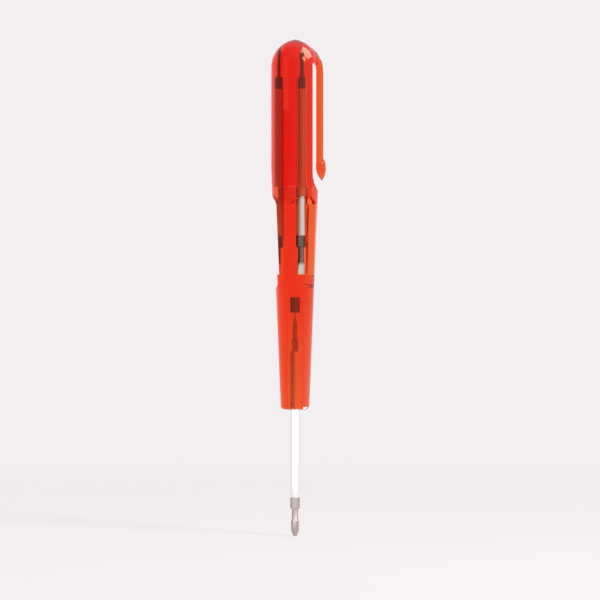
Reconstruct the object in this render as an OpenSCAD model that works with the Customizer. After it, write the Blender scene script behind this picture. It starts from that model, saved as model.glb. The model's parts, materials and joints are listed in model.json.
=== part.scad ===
// Pocket screwdriver. A clear handle holds one double-ended blade in its nose and stores
// two more in grooves round its top, under a pull-off cap with a pocket clip.
// The tool stands on its working tip: the tip is at the origin, the axis is Z, the clip is towards +X.

/* [Blades] */
// Length of a double-ended blade
blade_len = 79.8; // [72:0.1:88]
// Diameter of a blade's round shaft
shaft_d = 3.5; // [3.2:0.05:3.7]
// Length from each end of a blade to its hexagon
tip_len = 9.6; // [8.5:0.1:11]
// Length of each driving hexagon
hex_len = 4.2; // [3:0.1:5.5]
// Width of the hexagons across their flats
hex_af = 3; // [2.7:0.05:3.1]
// Chamfer on the outer edge of each hexagon
hex_chamfer = 0.45; // [0.3:0.05:0.6]

/* [Cross ends] */
// Diameter over the wings of the largest cross end
cross_d = 2.9; // [2.4:0.05:2.95]
// Diameter of the neck behind the wings
cross_neck_d = 2.3; // [1.8:0.05:2.5]
// Length of the winged part
cross_wing_len = 5.2; // [4:0.1:6]
// Length over which the wings narrow to the neck
cross_flare_len = 0.9; // [0.5:0.1:1.5]
// Length of the taper at the point
cross_point_len = 2; // [1.4:0.1:2.6]
// Diameter at the very end of the point
cross_point_d = 1.2; // [0.9:0.05:1.5]
// Distance from the axis to the roots of the flutes at the point
flute_root_r = 0.4; // [0.3:0.02:0.5]

/* [Slotted ends] */
// Width of the largest slotted end
slot_w = 2.55; // [2.2:0.05:2.8]
// Thickness of the slotted end at its tip
slot_t = 0.45; // [0.3:0.05:0.7]
// Diameter of the neck behind the slotted end
slot_neck_d = 2.05; // [1.7:0.05:2.2]
// Length of the full-width part
slot_wide_len = 4.2; // [3:0.1:5]
// Length over which the end narrows to the neck
slot_flare_len = 1.8; // [1:0.1:2.5]
// Radius of the wheel that ground the two faces hollow
grind_r = 14; // [10:0.5:20]

/* [Handle] */
// Length of blade that stands out of the nose
reach = 45.2; // [40:0.1:50]
// Length of the grip from the nose to the cap's seat
grip_len = 73.2; // [68:0.1:80]
// Diameter of the grip at the nose
nose_d = 10.2; // [9:0.1:12]
// Radius of the nose's rounded corner
nose_corner = 1.5; // [0.8:0.1:2]
// Chamfer at the mouth of the blade socket
mouth_chamfer = 0.4; // [0.2:0.05:0.6]
// Length, from the nose, over which the outside widens to the cap's diameter
taper_len = 85.8; // [80:0.1:95]
// Height above the nose of the ledge that the spare blades stand on
ledge_h = 48.2; // [46:0.1:52]
// Depth of the three flats below the grip's surface
window_depth = 1.4; // [1:0.05:1.6]
// Depth of the thumb recess under each flat
recess_depth = 0.7; // [0.4:0.05:0.9]
// Height of the thumb recess
recess_h = 3.1; // [2:0.1:4]
// Radius that runs the thumb recess out to the grip's surface
recess_r = 2; // [1.5:0.1:3]
// Distance from the axis to the centre of each stored blade
store_r = 4.2; // [4.1:0.05:4.4]
// Outward lean of the side of each groove that a fingertip rolls the blade over, in degrees
groove_flare = 35; // [30:1:40]
// Diameter of the round tenon that carries the cap
tenon_d = 12.4; // [12:0.1:12.6]
// Height of the tenon above the cap's seat
tenon_h = 6; // [4:0.1:8]

/* [Cap] */
// Diameter of the cap's barrel
cap_d = 17.1; // [16.8:0.1:18]
// Height of the dome's top above the stored blades
dome_rise = 4.1; // [3.9:0.1:4.8]
// Radius of the dome's pointed arch
dome_r = 10; // [9:0.1:11]
// Height of the scallops in the cap's rim
arch_h = 3; // [2:0.1:4]

/* [Pocket clip] */
// Distance from the axis to the flat behind the clip
flat_x = 6.3; // [6.1:0.05:6.6]
// Height of the flat's lower end above the cap's seat
flat_low = 10.9; // [9:0.1:14]
// Radius that runs the flat out to the rim
runout_r = 11.1; // [9:0.1:13]
// Depth of the flat's upper end below the top of the dome
flat_high = 8.7; // [8:0.1:10]
// Radius in the corner at the flat's upper end
flat_corner = 0.5; // [0.3:0.05:0.7]
// Gap between the flat and the clip
clip_gap = 1.25; // [1:0.05:1.6]
// Thickness of the clip
clip_t = 2.55; // [2.5:0.05:2.8]
// Width of the clip
clip_w = 3; // [2.8:0.05:3.4]
// Radius on the clip's long edges
clip_corner = 1.2; // [0.8:0.05:1.25]
// Outside radius of the bend that joins the clip to the dome
bend_r = 10.5; // [10:0.1:11.5]
// Depth of the start of that bend below the top of the dome
bend_low = 11.4; // [11:0.1:13]
// Sweep of that bend, in degrees
bend_deg = 70; // [66:1:74]
// Height of the clip's point above the cap's seat
bead_low = 8.5; // [7:0.1:11]
// Length of the leaf-shaped bead at the clip's end
bead_len = 9.8; // [8:0.1:12]
// Diameter of the bead
bead_d = 3.6; // [3.4:0.05:4]
// How far the bead narrows the gap
bead_pinch = 0.12; // [0.08:0.02:0.2]
// Outward lean of the bead, in degrees
bead_lean = 4.5; // [2:0.5:6]

/* [Magnet] */
// Diameter of the magnet at the bottom of the socket
magnet_d = 2.5; // [2:0.05:2.8]
// Length of the magnet
magnet_len = 5.5; // [4:0.1:7]

/* [Fits] */
// Clearance all round a blade, and between the cap and the tenon
fit_gap = 0.05; // [0.03:0.01:0.08]
// Clearance round a stored blade at the bottom of its groove
groove_gap = 0.1; // [0.08:0.01:0.15]
// Gap between faces that stop against each other
seat_gap = 0.05; // [0.02:0.01:0.1]
// Gap between the ends of the tenon and stored blades and the cap
end_gap = 0.3; // [0.2:0.05:0.5]
// Radial interference of the pressed-in magnet
press = 0.015; // [0.005:0.005:0.03]

/* [Hidden] */
$fn = 96;
// Extra length of every cut beyond the face that it leaves by
overrun = 1;
// Straight runs in each round stretch of an outline
arc_steps = 10;
// Direction of the pocket clip round the axis
clip_dir = 0;
// Directions of the three blade grooves, from the clip's; the rear one is the working blade's own
rear_dir = 60;
left_dir = 180;
front_dir = 300;
store_dirs = [rear_dir, left_dir, front_dir];
// Size of each blade's cross end and slotted end, as shares of the largest
working_shares = [1, 0.8];
left_shares = [0.5, 0.6];
front_shares = [0.7, 1];

// Blade stations, measured from its cross end
hex_ac = hex_af / cos(30);
shaft_low = tip_len + hex_len;
shaft_high = blade_len - shaft_low;

// Handle stations, measured from the working tip
nose_r = nose_d / 2;
cap_r = cap_d / 2;
nose_z = reach;
seat_z = nose_z + grip_len;
ledge_z = nose_z + ledge_h;
store_z = ledge_z + seat_gap;
store_top = store_z + blade_len;
tenon_r = tenon_d / 2;
tenon_top = seat_z + tenon_h;
taper_top = nose_z + taper_len;
taper_slope = (cap_r - nose_r) / taper_len;
taper_deg = atan(taper_slope);
groove_r = shaft_d / 2 + groove_gap;
bore_r = max(shaft_d, hex_ac) / 2 + fit_gap;
pocket_r = cross_d / 2 + fit_gap;
socket_top = blade_len + seat_gap;

// Cap stations
rim_z = seat_z + seat_gap;
cap_top = store_top + dome_rise;
dome_x = cap_r - dome_r;
dome_deg = acos(-dome_x / dome_r);
dome_z = cap_top - dome_r * sin(dome_deg);
// The scallops end where the flats reach the grip's surface
window_x = outer_r(seat_z) - window_depth;
arch_half = sqrt(outer_r(seat_z) ^ 2 - window_x ^ 2);
arch_r = (arch_half ^ 2 + arch_h ^ 2) / (2 * arch_h);
arch_z = seat_z + arch_h - arch_r;

// Clip stations
clip_x = flat_x + clip_gap;
clip_out = clip_x + clip_t;
bend_x = clip_out - bend_r;
bend_z = cap_top - bend_low;
bead_r = bead_d / 2;
bead_x = clip_x - bead_pinch + bead_r;
bead_z = seat_z + bead_low + bead_len / 2;

// Radius of the outside of the grip and cap at height z
function outer_r(z) = nose_r + taper_slope * min(z - nose_z, taper_len);

// Points of an arc about centre c, from angle a to angle b
function arc(c, r, a, b) =
    [for (i = [0 : arc_steps]) let (t = a + (b - a) * i / arc_steps) c + r * [cos(t), sin(t)]];

// Blade ends, each along +Z from its tip

module cross_end(share) {
    wing_r = share * cross_d / 2;
    neck_r = share * cross_neck_d / 2;
    flute_len = share * (cross_wing_len + cross_flare_len);
    flute_lean = atan((wing_r - share * flute_root_r) / flute_len);
    difference() {
        rotate_extrude()
            polygon([[0, 0], [share * cross_point_d / 2, 0], [wing_r, share * cross_point_len],
                     [wing_r, share * cross_wing_len], [neck_r, flute_len], [neck_r, tip_len],
                     [0, tip_len]]);
        for (turn = [45 : 90 : 315])
            rotate(turn)
                translate([share * flute_root_r, 0, 0])
                    rotate([0, flute_lean, -45])
                        translate([0, 0, -overrun])
                            cube([cross_d, cross_d, flute_len + 2 * overrun]);
    }
}

module slotted_end(share) {
    wide_r = share * slot_w / 2;
    neck_r = share * slot_neck_d / 2;
    wide_len = share * slot_wide_len;
    difference() {
        rotate_extrude()
            polygon([[0, 0], [wide_r, 0], [wide_r, wide_len],
                     [neck_r, wide_len + share * slot_flare_len], [neck_r, tip_len], [0, tip_len]]);
        for (side = [-1, 1])
            translate([side * (share * slot_t / 2 + grind_r), 0, 0])
                rotate([90, 0, 0])
                    cylinder(r = grind_r, h = slot_w + 2 * overrun, center = true);
    }
}

module drive_hex() {
    intersection() {
        translate([0, 0, tip_len]) cylinder(d = hex_ac, h = hex_len, $fn = 6);
        rotate_extrude()
            polygon([[0, tip_len], [hex_ac / 2 - hex_chamfer, tip_len],
                     [hex_ac / 2 + overrun, tip_len + hex_chamfer + overrun],
                     [hex_ac / 2 + overrun, shaft_low], [0, shaft_low]]);
    }
}

// A blade with its cross end at z = 0 and its slotted end up
module blade(shares) {
    union() {
        cross_end(shares[0]);
        drive_hex();
        translate([0, 0, shaft_low]) cylinder(d = shaft_d, h = shaft_high - shaft_low);
        translate([0, 0, blade_len])
            mirror([0, 0, 1]) {
                slotted_end(shares[1]);
                drive_hex();
            }
    }
}

// A stored blade, cross end up, in the groove that faces dir
module stored_blade(dir, shares) {
    rotate(clip_dir + dir) translate([store_r, 0, store_top]) rotate([180, 0, 0]) blade(shares);
}

// Handle

module grip_body() {
    edge = nose_z + nose_corner;
    rotate_extrude()
        polygon(concat([[0, nose_z]],
                       arc([outer_r(edge) - nose_corner, edge], nose_corner, 270, 360),
                       [[outer_r(seat_z), seat_z], [0, seat_z]]));
}

// Frame on a plane that lies depth below the grip's surface on the +X side and follows its taper
module on_taper(depth) {
    translate([nose_r - depth, 0, nose_z]) rotate([0, taper_deg, 0]) children();
}

module window_cut() {
    low = ledge_h / cos(taper_deg);
    on_taper(window_depth)
        translate([0, -cap_r, low])
            cube([cap_r, cap_d, grip_len - low + overrun]);
}

module thumb_recess() {
    high = ledge_h / cos(taper_deg) + overrun;
    low = ledge_h - recess_h;
    on_taper(recess_depth)
        rotate([90, 0, 0])
            linear_extrude(cap_d, center = true)
                polygon(concat(arc([recess_r, low], recess_r, 180, 270),
                               [[recess_r, high], [0, high]]));
}

module blade_groove() {
    high = tenon_top + overrun - ledge_z;
    wall_y = shaft_d / 2 + fit_gap;
    mouth_y = wall_y + cap_r * tan(groove_flare);
    translate([store_r, 0, ledge_z]) {
        cylinder(r = groove_r, h = high);
        linear_extrude(high)
            polygon([[0, -wall_y], [cap_r, -mouth_y], [cap_r, wall_y], [0, wall_y]]);
    }
}

module blade_socket() {
    hex_low = shaft_high + seat_gap;
    hex_high = blade_len - tip_len + seat_gap;
    translate([0, 0, nose_z - overrun])
        cylinder(r = bore_r, h = hex_low - nose_z + overrun);
    translate([0, 0, nose_z - overrun])
        cylinder(r1 = bore_r + mouth_chamfer + overrun, r2 = bore_r, h = mouth_chamfer + overrun);
    translate([0, 0, hex_low - overrun])
        cylinder(d = hex_ac + 2 * fit_gap, h = hex_high - hex_low + overrun, $fn = 6);
    translate([0, 0, hex_high - overrun])
        cylinder(r = pocket_r, h = socket_top - hex_high + overrun);
    translate([0, 0, socket_top - overrun])
        cylinder(r = magnet_d / 2 - press, h = magnet_len + overrun);
}

module handle() {
    color([0.88, 0.16, 0.08, 0.7])
        rotate(clip_dir) difference() {
            union() {
                grip_body();
                translate([0, 0, ledge_z]) cylinder(r = tenon_r, h = tenon_top - ledge_z);
            }
            for (dir = store_dirs)
                rotate(dir) {
                    window_cut();
                    thumb_recess();
                    blade_groove();
                }
            blade_socket();
        }
}

module magnet() {
    color([0.24, 0.22, 0.21])
        translate([0, 0, socket_top]) cylinder(d = magnet_d, h = magnet_len);
}

// Cap

module cap_shell() {
    rotate_extrude()
        polygon(concat([[0, rim_z], [outer_r(rim_z), rim_z], [cap_r, taper_top]],
                       arc([dome_x, dome_z], dome_r, 0, dome_deg)));
}

// Flat behind the clip, which curves out to the rim below and ends under the dome above
module clip_relief() {
    low = seat_z + flat_low;
    high = cap_top - flat_high;
    far_x = flat_x + runout_r;
    rotate([90, 0, 0])
        linear_extrude(cap_d + 2 * overrun, center = true)
            polygon(concat(arc([flat_x + flat_corner, high - flat_corner], flat_corner, 90, 180),
                           arc([far_x, low], runout_r, 180, 270),
                           [[far_x, high]]));
}

module clip_section() {
    x = clip_t / 2 - clip_corner;
    y = clip_w / 2 - clip_corner;
    polygon(concat(arc([x, y], clip_corner, 0, 90), arc([-x, y], clip_corner, 90, 180),
                   arc([-x, -y], clip_corner, 180, 270), arc([x, -y], clip_corner, 270, 360)));
}

// Leaf-shaped bead: a lens of revolution with its widest part at the origin
module clip_bead() {
    half = bead_len / 2;
    lens_r = (half ^ 2 + bead_r ^ 2) / (2 * bead_r);
    lens_deg = asin(half / lens_r);
    rotate_extrude()
        polygon(concat([[0, -half]],
                       arc([bead_r - lens_r, 0], lens_r, -lens_deg * (1 - 1 / arc_steps), lens_deg),
                       [[0, half]]));
}

module clip() {
    translate([clip_x + clip_t / 2, 0, bead_z])
        linear_extrude(bend_z - bead_z) clip_section();
    translate([bend_x, 0, bend_z])
        rotate([90, 0, 0])
            rotate_extrude(angle = bend_deg)
                translate([bend_r - clip_t / 2, 0]) clip_section();
    translate([bead_x, 0, bead_z]) rotate([0, -bead_lean, 0]) clip_bead();
}

module rim_scallops() {
    for (dir = store_dirs)
        rotate(dir)
            translate([tenon_r / 2, 0, arch_z])
                rotate([0, 90, 0]) cylinder(r = arch_r, h = cap_r);
}

// Deep holes for the stored blades, which narrow past the hexagons and end in a point
module blade_holes() {
    low = rim_z - overrun;
    step = store_top - tip_len + end_gap;
    high = store_top + end_gap;
    for (dir = store_dirs)
        rotate(dir)
            translate([store_r, 0, 0])
                rotate_extrude()
                    polygon([[0, low], [groove_r, low], [groove_r, step], [pocket_r, step],
                             [pocket_r, high - cross_point_len], [cross_point_d / 2 + fit_gap, high], [0, high]]);
}

// Round hole that the tenon fits in
module tenon_hole() {
    low = rim_z - overrun;
    translate([0, 0, low]) cylinder(r = tenon_r + fit_gap, h = tenon_top + end_gap - low);
}

module cap() {
    color([0.86, 0.14, 0.08, 0.7])
        rotate(clip_dir) difference() {
            union() {
                difference() {
                    cap_shell();
                    clip_relief();
                }
                clip();
            }
            tenon_hole();
            blade_holes();
            rim_scallops();
        }
}

// Blades

module working_blade() {
    color([0.78, 0.78, 0.77]) rotate(clip_dir) blade(working_shares);
}

module spare_blade_left() {
    color([0.78, 0.78, 0.77]) stored_blade(left_dir, left_shares);
}

module spare_blade_front() {
    color([0.78, 0.78, 0.77]) stored_blade(front_dir, front_shares);
}

handle();
cap();
working_blade();
spare_blade_left();
spare_blade_front();
magnet();
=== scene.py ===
"""Looks of a pocket screwdriver: clear red mouldings, bright blades, a dull magnet and a pale studio."""

import json
import math

import bpy
from bpy.props import FloatProperty, FloatVectorProperty, PointerProperty
from bpy.types import Operator, Panel, PropertyGroup
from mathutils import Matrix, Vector


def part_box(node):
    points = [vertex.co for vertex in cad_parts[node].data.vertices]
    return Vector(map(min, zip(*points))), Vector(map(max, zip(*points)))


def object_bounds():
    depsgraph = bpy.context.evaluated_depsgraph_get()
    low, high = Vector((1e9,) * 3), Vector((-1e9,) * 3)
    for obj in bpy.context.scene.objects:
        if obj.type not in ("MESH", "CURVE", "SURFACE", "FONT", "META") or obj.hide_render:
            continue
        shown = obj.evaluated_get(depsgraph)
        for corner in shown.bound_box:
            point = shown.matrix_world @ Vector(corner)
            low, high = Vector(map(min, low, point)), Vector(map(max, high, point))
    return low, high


bl_info = {
    "name": "Pocket Screwdriver Looks",
    "version": (1, 0, 0),
    "blender": (4, 5, 0),
    "location": "View3D > Sidebar > Screwdriver",
    "description": "Finishes and studio for a clear red pocket screwdriver",
    "category": "Material",
}

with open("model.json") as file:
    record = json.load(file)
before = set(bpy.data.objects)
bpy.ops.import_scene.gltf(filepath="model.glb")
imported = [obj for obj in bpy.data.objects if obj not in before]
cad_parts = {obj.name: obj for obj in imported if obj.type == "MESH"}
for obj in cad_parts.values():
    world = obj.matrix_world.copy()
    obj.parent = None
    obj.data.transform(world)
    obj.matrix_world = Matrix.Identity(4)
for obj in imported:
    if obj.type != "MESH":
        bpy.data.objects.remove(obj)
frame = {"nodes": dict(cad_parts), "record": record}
CAD_BOX = [list(corner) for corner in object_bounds()]

MM = 0.001
SPARES = [name for name in frame["nodes"] if name.startswith("spare_blade")]
# The photo's view: the pocket clip is on the right, and away is the direction that the camera looks in
CLIP = next(mount for mount in frame["record"]["mounts"] if mount["name"] == "pocket_clip")
UP = Vector((0.0, 0.0, 1.0))
RIGHT = Vector((*CLIP["pos_m"][:2], 0.0)).normalized()
AWAY = UP.cross(RIGHT)
# The photo's frame: pixels a side, pixels a millimetre, and the pixel where the blade's point is
PHOTO_SIDE_PX = 600
PHOTO_PX_PER_MM = 2.8
PHOTO_POINT_PX = (295.0, 536.0)
# The camera: width of its sensor, and how far it sees, in metres
SENSOR_MM = 36.0
CAMERA_REACH = 20.0
# The floor: radius in metres, and sides
FLOOR_RADIUS = 3.0
FLOOR_SIDES = 64
# Lamps: places in metres right of the axis, nearer the camera than it and up; sizes as width and height
KEY_PLACE = (0.55, 0.5, 0.6)
KEY_SIZE = (0.25, 0.25)
FILL_PLACE = (-0.6, 0.6, 0.5)
FILL_SIZE = (0.6, 0.6)
TOP_PLACE = (0.45, 0.0, 0.66)
TOP_SIZE = (0.45, 0.45)
LOW_PLACE = (0.08, 0.06, 0.033)
LOW_SIZE = (0.43, 0.036)
# The nose lamp: the spot that it aims at, up from the handle's lower end, and the lamp's place from there
NOSE_SPOT = (4 * MM, 4 * MM, 1.5 * MM)
NOSE_REACH = (0.045, -0.016, -0.037)
NOSE_SIZE = (0.05, 0.05)
NOSE_FAN = math.radians(40.0)
# Light bounces that the clear pieces need
BOUNCES = 32
GLOSSY_BOUNCES = 24
# The room that gloss and clear plastic show: how far right, and how far away, a ray points as it changes
SIDE_SPAN = (-0.5, 0.3)
BEHIND_SPAN = (-0.1, 0.3)
# Streaks in the finishes: scales of the noise per metre, across the tool and along it, then its detail
HANDLE_FLOW = (700.0, 45.0)
CAP_FLOW = (600.0, 60.0)
SCUFFS = (1400.0, 160.0)
DRAWN_LINES = (9000.0, 90.0)
MAGNET_GRAIN = (5000.0, 5000.0)
STREAK_DETAIL = 3.0
STREAK_ROUGHNESS = 0.55
SCUFF_DETAIL = 5.0
# Share of the full colour that the darker streaks keep
FLOW_SHADE = 0.97
LINE_SHADE = 0.94
# Span of the noise over which polish turns to scuffs, and what drawn lines add to the roughness
SCUFF_SPAN = (0.45, 0.85)
LINE_ROUGHNESS = (-0.05, 0.06)
# Bumps: strength and height
FLOW_BUMP = (0.04, 0.05 * MM)
LINE_BUMP = (0.08, 0.01 * MM)
# Soft borders: the clip's tint, a blade's ends as a share of its length, and the full part of ground faces
CLIP_BORDER = 0.3 * MM
END_BORDER_SHARE = 0.001
GROUND_START_SHARE = 0.7
# Shading: how far apart points that join may be, and the angle from which an edge is sharp
JOIN_DISTANCE = 0.001 * MM
SHARP_ANGLE = math.radians(22.0)


class PlasticSettings(PropertyGroup):
    """Clear red moulding."""

    tint: FloatVectorProperty(
        name="Tint", description="Light that the plastic lets through", subtype="COLOR", size=4,
        min=0.0, max=1.0, default=(0.993, 0.38, 0.0, 1.0))
    handle_density: FloatProperty(
        name="Handle density", description="Strength of the handle's tint, per metre of plastic", min=0.0,
        default=420.0)
    cap_density: FloatProperty(
        name="Cap density", description="Strength of the cap's tint, per metre of plastic", min=0.0,
        default=650.0)
    ior: FloatProperty(
        name="Refraction", description="Index of refraction", min=1.0, max=2.0, default=1.4)
    gloss_tint: FloatVectorProperty(
        name="Gloss", description="Colour of the surface reflection", subtype="COLOR", size=4,
        min=0.0, max=1.0, default=(1.0, 0.42, 0.26, 1.0))
    haze: FloatProperty(
        name="Haze", description="Share of the light that the surface scatters", subtype="FACTOR",
        min=0.0, max=1.0, default=0.015)
    haze_color: FloatVectorProperty(
        name="Haze colour", description="Colour of the scattered light", subtype="COLOR", size=4,
        min=0.0, max=1.0, default=(1.0, 0.8, 0.65, 1.0))
    clip_color: FloatVectorProperty(
        name="Clip colour", description="Extra tint of the thin pocket clip", subtype="COLOR", size=4,
        min=0.0, max=1.0, default=(1.0, 0.34, 0.18, 1.0))
    clip_start: FloatProperty(
        name="Clip start", description="Distance from the axis at which the clip's tint starts",
        subtype="DISTANCE", unit="LENGTH", min=0.0, default=7.2 * MM)
    polish: FloatProperty(
        name="Polish", description="Roughness of the polished faces", subtype="FACTOR",
        min=0.0, max=1.0, default=0.02)
    scuff: FloatProperty(
        name="Scuff", description="Roughness of the scuffed streaks", subtype="FACTOR",
        min=0.0, max=1.0, default=0.07)


class SteelSettings(PropertyGroup):
    """Plated shaft with ground ends."""

    shaft_color: FloatVectorProperty(
        name="Shaft", description="Colour of the plated shaft", subtype="COLOR", size=4,
        min=0.0, max=1.0, default=(0.95, 0.95, 0.94, 1.0))
    end_color: FloatVectorProperty(
        name="Working ends", description="Colour of the working blade's ground ends", subtype="COLOR", size=4,
        min=0.0, max=1.0, default=(0.5, 0.445, 0.43, 1.0))
    # Painted shade: the spare shafts are the same steel as the working shaft, darkened in colour to stand in
    # for the shade and dim reflections in the handle's grooves
    shaded_spare_shaft_color: FloatVectorProperty(
        name="Spare shafts", description="Colour of the spare blades' satin shafts", subtype="COLOR", size=4,
        min=0.0, max=1.0, default=(0.62, 0.58, 0.53, 1.0))
    spare_end_color: FloatVectorProperty(
        name="Spare ends", description="Colour of the spare blades' darker ends", subtype="COLOR", size=4,
        min=0.0, max=1.0, default=(0.16, 0.145, 0.13, 1.0))
    ground_color: FloatVectorProperty(
        name="Ground faces", description="Colour of the spare blades' hollow-ground faces", subtype="COLOR",
        size=4, min=0.0, max=1.0, default=(0.62, 0.62, 0.6, 1.0))
    ground_length: FloatProperty(
        name="Ground length", description="Length of the hollow-ground faces", subtype="DISTANCE",
        unit="LENGTH", min=0.0, default=4.4 * MM)
    end_length: FloatProperty(
        name="End length", description="Length of the greyer end of a blade", subtype="DISTANCE",
        unit="LENGTH", min=0.0, default=13.8 * MM)
    shaft_roughness: FloatProperty(
        name="Shaft roughness", description="Roughness of the plated shaft", subtype="FACTOR",
        min=0.0, max=1.0, default=0.16)
    spare_roughness: FloatProperty(
        name="Spare roughness", description="Roughness of the spare blades' shafts", subtype="FACTOR",
        min=0.0, max=1.0, default=0.32)
    end_roughness: FloatProperty(
        name="End roughness", description="Roughness of the ground ends", subtype="FACTOR",
        min=0.0, max=1.0, default=0.34)


class MagnetSettings(PropertyGroup):
    """Sintered magnet."""

    dark_grain: FloatVectorProperty(
        name="Dark grain", description="Colour of the magnet's darker grain", subtype="COLOR", size=4,
        min=0.0, max=1.0, default=(0.1, 0.093, 0.088, 1.0))
    light_grain: FloatVectorProperty(
        name="Light grain", description="Colour of the magnet's lighter grain", subtype="COLOR", size=4,
        min=0.0, max=1.0, default=(0.36, 0.33, 0.31, 1.0))
    metal: FloatProperty(
        name="Metal", description="Metallic share of the magnet's surface", subtype="FACTOR",
        min=0.0, max=1.0, default=0.7)
    fine_roughness: FloatProperty(
        name="Fine roughness", description="Roughness of the darker grain", subtype="FACTOR",
        min=0.0, max=1.0, default=0.35)
    coarse_roughness: FloatProperty(
        name="Coarse roughness", description="Roughness of the lighter grain", subtype="FACTOR",
        min=0.0, max=1.0, default=0.6)


class StageSettings(PropertyGroup):
    """Backdrop, lamps and camera."""

    backdrop: FloatVectorProperty(
        name="Backdrop", description="Colour of the backdrop and floor", subtype="COLOR", size=4,
        min=0.0, max=1.0, default=(0.896, 0.863, 0.871, 1.0))
    room_color: FloatVectorProperty(
        name="Room colour", description="Colour of the even light from all round", subtype="COLOR", size=4,
        min=0.0, max=1.0, default=(1.0, 0.985, 0.97, 1.0))
    room_light: FloatProperty(
        name="Room light", description="Strength of the even light from all round", min=0.0, default=0.55)
    side_color: FloatVectorProperty(
        name="Side colour", description="Colour of the room that gloss shows in front", subtype="COLOR",
        size=4, min=0.0, max=1.0, default=(1.0, 0.99, 0.98, 1.0))
    left_gloss: FloatProperty(
        name="Left gloss", description="Brightness of the room that gloss shows on the left", min=0.0,
        default=0.35)
    right_gloss: FloatProperty(
        name="Right gloss", description="Brightness of the room that gloss shows on the right", min=0.0,
        default=1.0)
    floor_share: FloatProperty(
        name="Floor share", description="Matt share of the floor's colour, which takes the shadow",
        subtype="FACTOR", min=0.0, max=1.0, default=0.45)
    floor_glow: FloatProperty(
        name="Floor glow", description="Even share of the floor's colour", subtype="FACTOR",
        min=0.0, max=1.0, default=0.65)
    floor_near: FloatProperty(
        name="Floor near", description="Distance at which the floor starts to melt into the backdrop",
        subtype="DISTANCE", unit="LENGTH", min=0.0, default=0.12)
    floor_far: FloatProperty(
        name="Floor far", description="Distance at which the floor is all backdrop",
        subtype="DISTANCE", unit="LENGTH", min=0.0, default=0.6)
    key_power: FloatProperty(
        name="Key", description="Power of the lamp on the right", subtype="POWER", min=0.0, default=3.2)
    fill_power: FloatProperty(
        name="Fill", description="Power of the lamp on the left", subtype="POWER", min=0.0, default=1.2)
    top_power: FloatProperty(
        name="Top", description="Power of the lamp above the dome, on the right", subtype="POWER", min=0.0,
        default=9.0)
    low_power: FloatProperty(
        name="Low", description="Power of the low lamp in front of the blade", subtype="POWER", min=0.0,
        default=0.055)
    nose_power: FloatProperty(
        name="Nose", description="Power of the small lamp under the handle's nose", subtype="POWER", min=0.0,
        default=0.04)
    lens: FloatProperty(
        name="Lens", description="Focal length of the camera, in millimetres", min=1.0, default=200.0)


def add_node(tree, kind, inputs=None, **settings):
    """Adds a node, sets its own settings and then its unlinked inputs."""
    made = tree.nodes.new(kind)
    for name, value in settings.items():
        setattr(made, name, value)
    for name, value in (inputs or {}).items():
        made.inputs[name].default_value = value
    return made


def new_finish(name):
    """A material with a plain Principled surface; returns the material, its tree and that shader."""
    finish = bpy.data.materials.new(name)
    finish.use_nodes = True
    tree = finish.node_tree
    return finish, tree, tree.nodes["Principled BSDF"]


def streaks(tree, scales, detail=STREAK_DETAIL):
    """Noise drawn out along the tool's axis, as factors; scales are across it and along it, per metre."""
    across, along_axis = scales
    place = add_node(tree, "ShaderNodeTexCoord")
    stretch = add_node(tree, "ShaderNodeMapping", {"Scale": (across, across, along_axis)})
    noise = add_node(tree, "ShaderNodeTexNoise",
                     {"Scale": 1.0, "Detail": detail, "Roughness": STREAK_ROUGHNESS})
    tree.links.new(place.outputs["Object"], stretch.inputs["Vector"])
    tree.links.new(stretch.outputs["Vector"], noise.inputs["Vector"])
    return noise.outputs["Fac"]


def spread(tree, factor, low, high, start=0.0, end=1.0):
    """Maps a factor between start and end to values between low and high."""
    ramp = add_node(tree, "ShaderNodeMapRange",
                    {"From Min": start, "From Max": end, "To Min": low, "To Max": high})
    tree.links.new(factor, ramp.inputs["Value"])
    return ramp.outputs["Result"]


def along(tree, direction, coordinates="Generated"):
    """How far a point, or a ray's direction in the world, lies along a given direction."""
    place = add_node(tree, "ShaderNodeTexCoord")
    product = add_node(tree, "ShaderNodeVectorMath", operation="DOT_PRODUCT")
    product.inputs[1].default_value = direction
    tree.links.new(place.outputs[coordinates], product.inputs[0])
    return product.outputs["Value"]


def shaded(color, share):
    """A darker opaque colour that keeps a share of the given one."""
    return [share * part for part in color[:3]] + [1.0]


def blend_colors(tree, factor, low, high):
    """Mixes two fixed colours by a factor."""
    mix = add_node(tree, "ShaderNodeMix", data_type="RGBA")
    mix.inputs["A"].default_value = low
    mix.inputs["B"].default_value = high
    tree.links.new(factor, mix.inputs["Factor"])
    return mix.outputs["Result"]


def cover(tree, factor, under, color):
    """Covers a colour that comes from nodes with a fixed one, by a factor."""
    mix = add_node(tree, "ShaderNodeMix", data_type="RGBA")
    mix.inputs["B"].default_value = color
    tree.links.new(factor, mix.inputs["Factor"])
    tree.links.new(under, mix.inputs["A"])
    return mix.outputs["Result"]


def add_bump(tree, shader, height, strength, distance):
    """Gives a surface fine relief from a factor."""
    bump = add_node(tree, "ShaderNodeBump", {"Strength": strength, "Distance": distance})
    tree.links.new(height, bump.inputs["Height"])
    tree.links.new(bump.outputs["Normal"], shader.inputs["Normal"])


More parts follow.
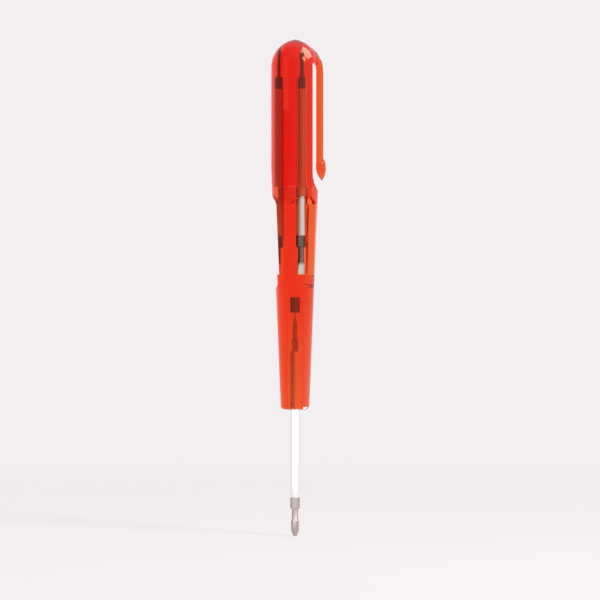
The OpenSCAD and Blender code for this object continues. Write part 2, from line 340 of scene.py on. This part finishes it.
def clear_plastic(name, settings, density, flow_scales, clip=False):
    """Clear red plastic: tint by depth, flow lines, scuffed streaks and, if asked for, a redder clip."""
    finish, tree, shader = new_finish(name)
    shader.inputs["Transmission Weight"].default_value = 1.0 - settings.haze
    shader.inputs["IOR"].default_value = settings.ior
    shader.inputs["Specular Tint"].default_value = settings.gloss_tint
    depth = add_node(tree, "ShaderNodeVolumeAbsorption", {"Color": settings.tint, "Density": density})
    tree.links.new(depth.outputs["Volume"], tree.nodes["Material Output"].inputs["Volume"])
    flow = streaks(tree, flow_scales)
    shade = blend_colors(tree, flow, shaded(settings.haze_color, FLOW_SHADE), settings.haze_color)
    if clip:
        start = settings.clip_start
        in_clip = spread(tree, along(tree, RIGHT, "Object"), 0.0, 1.0, start, start + CLIP_BORDER)
        shade = cover(tree, in_clip, shade, settings.clip_color)
    tree.links.new(shade, shader.inputs["Base Color"])
    wear = spread(tree, streaks(tree, SCUFFS, SCUFF_DETAIL), settings.polish, settings.scuff, *SCUFF_SPAN)
    tree.links.new(wear, shader.inputs["Roughness"])
    add_bump(tree, shader, flow, *FLOW_BUMP)
    return finish


def blade_steel(name, settings, shaft_color, shaft_roughness, end_color, length, ground=False):
    """Plated shaft with drawn lines, satin ends and, if asked for, bright ground faces at the lower end."""
    finish, tree, shader = new_finish(name)
    shader.inputs["Metallic"].default_value = 1.0
    place = add_node(tree, "ShaderNodeTexCoord")
    split = add_node(tree, "ShaderNodeSeparateXYZ")
    tree.links.new(place.outputs["Generated"], split.inputs["Vector"])
    height = split.outputs["Z"]
    middle = add_node(tree, "ShaderNodeMath", {1: 0.5}, operation="SUBTRACT")
    tree.links.new(height, middle.inputs[0])
    away = add_node(tree, "ShaderNodeMath", operation="ABSOLUTE")
    tree.links.new(middle.outputs["Value"], away.inputs[0])
    border = 0.5 - settings.end_length / length
    end = spread(tree, away.outputs["Value"], 0.0, 1.0, border - END_BORDER_SHARE, border + END_BORDER_SHARE)
    lines = streaks(tree, DRAWN_LINES)
    surface = blend_colors(tree, lines, shaded(shaft_color, LINE_SHADE), shaft_color)
    surface = cover(tree, end, surface, end_color)
    if ground:
        face = settings.ground_length / length
        surface = cover(tree, spread(tree, height, 1.0, 0.0, GROUND_START_SHARE * face, face), surface,
                        settings.ground_color)
    tree.links.new(surface, shader.inputs["Base Color"])
    rough = add_node(tree, "ShaderNodeMix", data_type="FLOAT")
    rough.inputs["B"].default_value = settings.end_roughness
    tree.links.new(end, rough.inputs["Factor"])
    tree.links.new(spread(tree, lines, *(shaft_roughness + change for change in LINE_ROUGHNESS)),
                   rough.inputs["A"])
    tree.links.new(rough.outputs["Result"], shader.inputs["Roughness"])
    add_bump(tree, shader, lines, *LINE_BUMP)
    return finish


def sintered_magnet(settings):
    """Dull grey magnet with a fine grain."""
    finish, tree, shader = new_finish("sintered_magnet")
    shader.inputs["Metallic"].default_value = settings.metal
    grain = streaks(tree, MAGNET_GRAIN)
    tree.links.new(blend_colors(tree, grain, settings.dark_grain, settings.light_grain),
                   shader.inputs["Base Color"])
    tree.links.new(spread(tree, grain, settings.fine_roughness, settings.coarse_roughness),
                   shader.inputs["Roughness"])
    return finish


def even_shading():
    """Node group that joins the faces of a solid and shades soft edges smooth, hard ones sharp."""
    group = bpy.data.node_groups.get("even_shading")
    if group:
        return group
    group = bpy.data.node_groups.new("even_shading", "GeometryNodeTree")
    group.is_modifier = True
    group.interface.new_socket("Geometry", in_out="INPUT", socket_type="NodeSocketGeometry")
    group.interface.new_socket("Geometry", in_out="OUTPUT", socket_type="NodeSocketGeometry")
    start = add_node(group, "NodeGroupInput")
    end = add_node(group, "NodeGroupOutput")
    merge = add_node(group, "GeometryNodeMergeByDistance", {"Distance": JOIN_DISTANCE})
    angle = add_node(group, "GeometryNodeInputMeshEdgeAngle")
    hard = add_node(group, "FunctionNodeCompare", data_type="FLOAT", operation="GREATER_THAN")
    hard.inputs["B"].default_value = SHARP_ANGLE
    normals = add_node(group, "GeometryNodeSetMeshNormal", mode="SHARPNESS")
    normals.inputs["Remove Custom"].default_value = True
    normals.inputs["Face Sharpness"].default_value = False
    group.links.new(start.outputs["Geometry"], merge.inputs["Geometry"])
    group.links.new(merge.outputs["Geometry"], normals.inputs["Mesh"])
    group.links.new(angle.outputs["Unsigned Angle"], hard.inputs["A"])
    group.links.new(hard.outputs["Result"], normals.inputs["Edge Sharpness"])
    group.links.new(normals.outputs["Mesh"], end.inputs["Geometry"])
    return group


def dress(name, finish):
    """Gives a solid its finish and even shading."""
    piece = frame["nodes"][name]
    piece.data.materials.clear()
    piece.data.materials.append(finish)
    piece.modifiers.new("even_shading", "NODES").node_group = even_shading()


class DriverOperator:
    """What all the operators share."""

    bl_options = {"REGISTER", "UNDO"}


class SCREWDRIVER_OT_handle(DriverOperator, Operator):
    """Finish the handle in clear red plastic."""

    bl_idname = "screwdriver.handle"
    bl_label = "Handle"

    def execute(self, context):
        plastic = context.scene.driver_plastic
        finish = clear_plastic("handle_plastic", plastic, plastic.handle_density, HANDLE_FLOW)
        dress("handle", finish)
        return {"FINISHED"}


class SCREWDRIVER_OT_cap(DriverOperator, Operator):
    """Finish the cap and its clip in clear red plastic."""

    bl_idname = "screwdriver.cap"
    bl_label = "Cap"

    def execute(self, context):
        plastic = context.scene.driver_plastic
        finish = clear_plastic("cap_plastic", plastic, plastic.cap_density, CAP_FLOW, clip=True)
        dress("cap", finish)
        return {"FINISHED"}


class SCREWDRIVER_OT_blades(DriverOperator, Operator):
    """Finish the working blade and the spare blades in plated steel."""

    bl_idname = "screwdriver.blades"
    bl_label = "Blades"

    def execute(self, context):
        steel = context.scene.driver_steel
        low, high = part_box("working_blade")
        length = high.z - low.z
        working_finish = blade_steel("working_steel", steel, steel.shaft_color, steel.shaft_roughness,
                                     steel.end_color, length)
        dress("working_blade", working_finish)
        # The spare blades take the darker shaft colour, which is painted shade for the light they lose in the
        # handle's grooves
        spare_finish = blade_steel("spare_steel", steel, steel.shaded_spare_shaft_color, steel.spare_roughness,
                                   steel.spare_end_color, length, ground=True)
        for name in SPARES:
            dress(name, spare_finish)
        return {"FINISHED"}


class SCREWDRIVER_OT_magnet(DriverOperator, Operator):
    """Finish the magnet at the inner end of the blade socket."""

    bl_idname = "screwdriver.magnet"
    bl_label = "Magnet"

    def execute(self, context):
        dress("magnet", sintered_magnet(context.scene.driver_magnet))
        return {"FINISHED"}


def seen_rays(tree, kinds):
    """1 for rays of these kinds, 0 for the rest."""
    light = add_node(tree, "ShaderNodeLightPath")
    seen = light.outputs[kinds[0]]
    for kind in kinds[1:]:
        either = add_node(tree, "ShaderNodeMath", operation="MAXIMUM")
        tree.links.new(seen, either.inputs[0])
        tree.links.new(light.outputs[kind], either.inputs[1])
        seen = either.outputs["Value"]
    return seen


def mix_shaders(tree, factor, low, high):
    """Mixes two shaders by a factor."""
    mix = add_node(tree, "ShaderNodeMixShader")
    tree.links.new(factor, mix.inputs["Fac"])
    tree.links.new(low, mix.inputs[1])
    tree.links.new(high, mix.inputs[2])
    return mix.outputs["Shader"]


def pale_room(settings):
    """World: even room light, the backdrop for the camera, and for gloss and clear plastic a room that is
    pale behind, dim on the left and bright on the right."""
    world = bpy.data.worlds.new("pale_room")
    world.use_nodes = True
    tree = world.node_tree
    tree.nodes.clear()
    output = add_node(tree, "ShaderNodeOutputWorld")
    room = add_node(tree, "ShaderNodeBackground",
                    {"Color": settings.room_color, "Strength": settings.room_light})
    backdrop = add_node(tree, "ShaderNodeBackground", {"Color": settings.backdrop, "Strength": 1.0})
    sides = add_node(tree, "ShaderNodeBackground", {"Color": settings.side_color})
    tree.links.new(spread(tree, along(tree, RIGHT), settings.left_gloss, settings.right_gloss, *SIDE_SPAN),
                   sides.inputs["Strength"])
    behind = spread(tree, along(tree, AWAY), 0.0, 1.0, *BEHIND_SPAN)
    around = mix_shaders(tree, behind, sides.outputs["Background"], backdrop.outputs["Background"])
    inner = mix_shaders(tree, seen_rays(tree, ["Is Glossy Ray", "Is Transmission Ray"]),
                        room.outputs["Background"], around)
    seen = mix_shaders(tree, seen_rays(tree, ["Is Camera Ray"]), inner, backdrop.outputs["Background"])
    tree.links.new(seen, output.inputs["Surface"])
    return world


def floor_finish(settings):
    """Pale floor that takes the tool's shadow near it and melts into the backdrop further out."""
    finish = bpy.data.materials.new("pale_floor")
    finish.use_nodes = True
    tree = finish.node_tree
    tree.nodes.clear()
    output = add_node(tree, "ShaderNodeOutputMaterial")
    seen = seen_rays(tree, ["Is Camera Ray", "Is Glossy Ray", "Is Transmission Ray"])
    matt = add_node(tree, "ShaderNodeBsdfDiffuse", {"Color": shaded(settings.backdrop, settings.floor_share)})
    near_glow = add_node(tree, "ShaderNodeEmission", {"Color": settings.backdrop})
    tree.links.new(spread(tree, seen, 0.0, settings.floor_glow), near_glow.inputs["Strength"])
    near = add_node(tree, "ShaderNodeAddShader")
    tree.links.new(matt.outputs["BSDF"], near.inputs[0])
    tree.links.new(near_glow.outputs["Emission"], near.inputs[1])
    far = add_node(tree, "ShaderNodeEmission", {"Color": settings.backdrop})
    tree.links.new(seen, far.inputs["Strength"])
    place = add_node(tree, "ShaderNodeTexCoord")
    away = add_node(tree, "ShaderNodeVectorMath", operation="LENGTH")
    tree.links.new(place.outputs["Object"], away.inputs[0])
    edge = spread(tree, away.outputs["Value"], 0.0, 1.0, settings.floor_near, settings.floor_far)
    surface = mix_shaders(tree, edge, near.outputs["Shader"], far.outputs["Emission"])
    tree.links.new(surface, output.inputs["Surface"])
    return finish


def pale_floor(settings):
    """Round floor under the tool's point."""
    mesh = bpy.data.meshes.new("floor")
    turns = [math.tau * i / FLOOR_SIDES for i in range(FLOOR_SIDES)]
    rim = [(FLOOR_RADIUS * math.cos(turn), FLOOR_RADIUS * math.sin(turn), 0.0) for turn in turns]
    mesh.from_pydata(rim, [], [list(range(FLOOR_SIDES))])
    mesh.materials.append(floor_finish(settings))
    floor = bpy.data.objects.new("floor", mesh)
    bpy.context.scene.collection.objects.link(floor)


def in_view(right, near, up):
    """Point right of the tool's axis, nearer the camera than it and up from its point, in metres."""
    return right * RIGHT - near * AWAY + up * UP


def soft_lamp(name, place, aim, size, power, fan=math.pi):
    """Soft rectangular lamp that points at a spot; fan is the angle that its light spreads over."""
    light = bpy.data.lights.new(name, "AREA")
    light.shape = "RECTANGLE"
    light.size, light.size_y = size
    light.energy = power
    light.spread = fan
    lamp = bpy.data.objects.new(name, light)
    lamp.location = place
    lamp.rotation_euler = (aim - place).to_track_quat("-Z", "Y").to_euler()
    lamp.visible_camera = False
    bpy.context.scene.collection.objects.link(lamp)
    return lamp


def light_only(lamp, name):
    """Lets a lamp light the surface of just one piece, and keeps it from showing through clear plastic."""
    lit = bpy.data.collections.new("lit_by_" + lamp.name)
    lit.objects.link(frame["nodes"][name])
    lamp.light_linking.receiver_collection = lit
    lamp.visible_transmission = False


def studio_lamps(settings):
    """Two lamps for the whole tool, and one each for the dome, the bare blade and the handle's nose."""
    top = CAD_BOX[1][2]
    middle = in_view(0.0, 0.0, top / 2)
    soft_lamp("key_lamp", in_view(*KEY_PLACE), middle, KEY_SIZE, settings.key_power)
    soft_lamp("fill_lamp", in_view(*FILL_PLACE), middle, FILL_SIZE, settings.fill_power)
    dome = in_view(0.0, 0.0, top)
    top_lamp = soft_lamp("top_lamp", in_view(*TOP_PLACE), dome, TOP_SIZE, settings.top_power)
    light_only(top_lamp, "cap")
    low_place = in_view(*LOW_PLACE)
    low_lamp = soft_lamp("low_lamp", low_place, low_place + AWAY, LOW_SIZE, settings.low_power)
    light_only(low_lamp, "working_blade")
    nose = in_view(*NOSE_SPOT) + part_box("handle")[0].z * UP
    nose_place = nose + in_view(*NOSE_REACH)
    nose_lamp = soft_lamp("nose_lamp", nose_place, nose, NOSE_SIZE, settings.nose_power, NOSE_FAN)
    light_only(nose_lamp, "handle")


def photo_camera(settings):
    """Camera square to the tool, with the photo's scale and framing."""
    width = PHOTO_SIDE_PX / PHOTO_PX_PER_MM * MM
    data = bpy.data.cameras.new("photo_camera")
    data.sensor_width = SENSOR_MM
    data.lens = settings.lens
    data.clip_end = CAMERA_REACH
    camera = bpy.data.objects.new("photo_camera", data)
    middle = PHOTO_SIDE_PX / 2
    camera.location = in_view((middle - PHOTO_POINT_PX[0]) / PHOTO_PX_PER_MM * MM,
                              width * settings.lens / SENSOR_MM,
                              (PHOTO_POINT_PX[1] - middle) / PHOTO_PX_PER_MM * MM)
    camera.rotation_euler = AWAY.to_track_quat("-Z", "Y").to_euler()
    bpy.context.scene.collection.objects.link(camera)
    bpy.context.scene.camera = camera


class SCREWDRIVER_OT_stage(DriverOperator, Operator):
    """Set up the backdrop, floor, lamps and camera."""

    bl_idname = "screwdriver.stage"
    bl_label = "Stage"

    def execute(self, context):
        scene = context.scene
        settings = scene.driver_stage
        scene.world = pale_room(settings)
        scene.view_settings.view_transform = "Standard"
        scene.cycles.max_bounces = BOUNCES
        scene.cycles.glossy_bounces = GLOSSY_BOUNCES
        scene.cycles.transmission_bounces = BOUNCES
        pale_floor(settings)
        studio_lamps(settings)
        photo_camera(settings)
        return {"FINISHED"}


class SCREWDRIVER_PT_looks(Panel):
    """Lists the finishes and the stage."""

    bl_label = "Pocket Screwdriver"
    bl_idname = "SCREWDRIVER_PT_looks"
    bl_space_type = "VIEW_3D"
    bl_region_type = "UI"
    bl_category = "Screwdriver"

    def draw(self, context):
        for operator in OPERATORS:
            self.layout.operator(operator.bl_idname)
        for group in SETTINGS:
            settings = getattr(context.scene, group)
            for name in settings.__annotations__:
                self.layout.prop(settings, name)


SETTINGS = {"driver_plastic": PlasticSettings, "driver_steel": SteelSettings, "driver_magnet": MagnetSettings,
            "driver_stage": StageSettings}
OPERATORS = (SCREWDRIVER_OT_handle, SCREWDRIVER_OT_cap, SCREWDRIVER_OT_blades, SCREWDRIVER_OT_magnet,
             SCREWDRIVER_OT_stage)
CLASSES = (*SETTINGS.values(), *OPERATORS, SCREWDRIVER_PT_looks)


def register():
    for cls in CLASSES:
        bpy.utils.register_class(cls)
    for name, group in SETTINGS.items():
        setattr(bpy.types.Scene, name, PointerProperty(type=group))


def unregister():
    for name in SETTINGS:
        delattr(bpy.types.Scene, name)
    for cls in reversed(CLASSES):
        bpy.utils.unregister_class(cls)


def main():
    register()
    bpy.ops.screwdriver.stage()
    bpy.ops.screwdriver.handle()
    bpy.ops.screwdriver.cap()
    bpy.ops.screwdriver.blades()
    bpy.ops.screwdriver.magnet()


if __name__ == "__main__":
    main()
